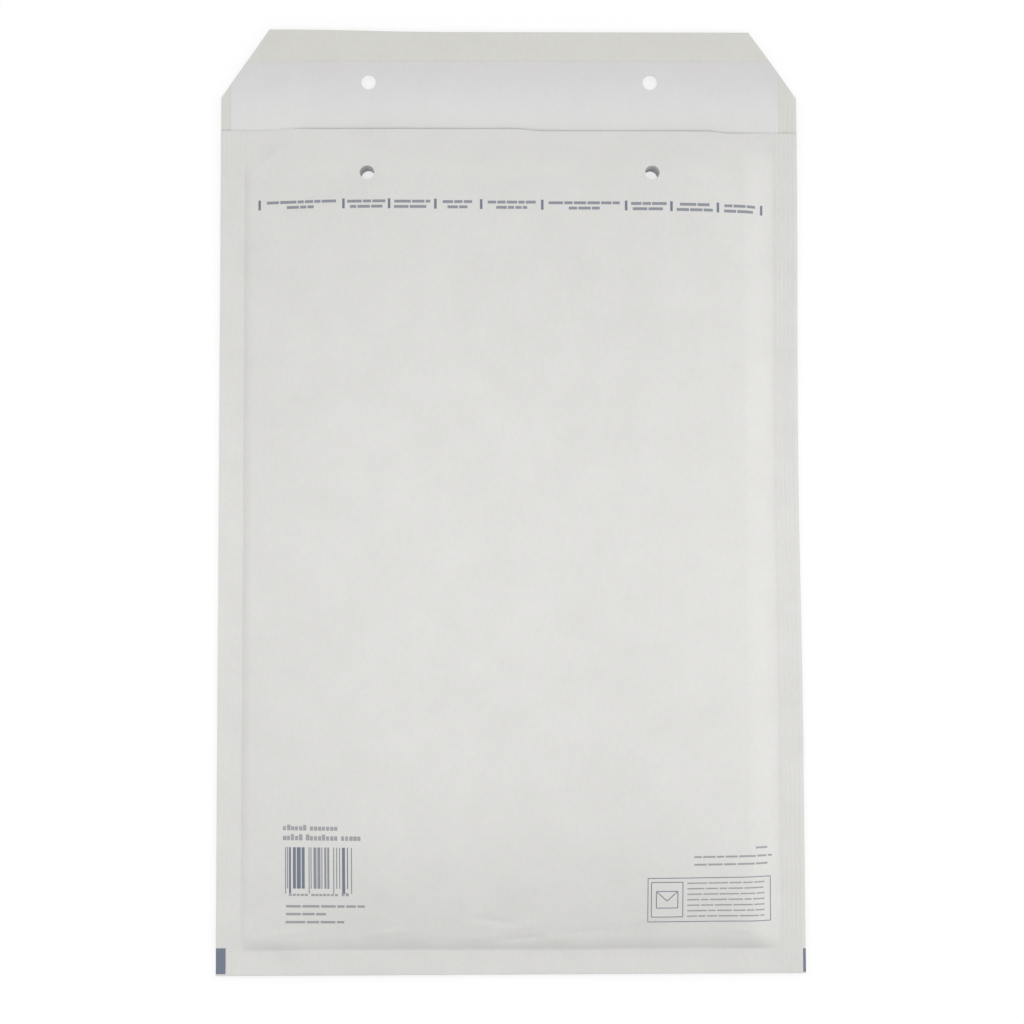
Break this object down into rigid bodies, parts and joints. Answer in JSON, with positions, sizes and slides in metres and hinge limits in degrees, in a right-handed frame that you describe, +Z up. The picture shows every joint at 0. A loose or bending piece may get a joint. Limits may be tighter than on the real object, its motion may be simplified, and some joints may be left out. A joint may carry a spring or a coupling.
{
  "type": "padded envelope",
  "caption": "Flat padded mailing envelope with a folded paper skin, bubble film lining, open flap with a self-seal strip, and punched fastener holes.",
  "frame": {"origin": "middle of the underside of the envelope's box, on the surface that it lies on", "axes": "+X across the envelope, to the right as the front is read; +Y from the bottom fold to the flap; +Z up, out of the front panel"},
  "size_m": [0.24, 0.39, 0.0127],
  "materials": {
    "white_paper": "smooth white kraft paper, matt",
    "bubble_film": "clear polyethylene bubble film",
    "adhesive": "pressure sensitive hot melt, tacky",
    "liner_paper": "silicone coated release paper, satin"
  },
  "bodies": {
    "root": {"envelope_paper": "white_paper", "bubble_lining": "bubble_film", "adhesive_strip": "adhesive", "release_liner": "liner_paper"}
  },
  "joints": []
}
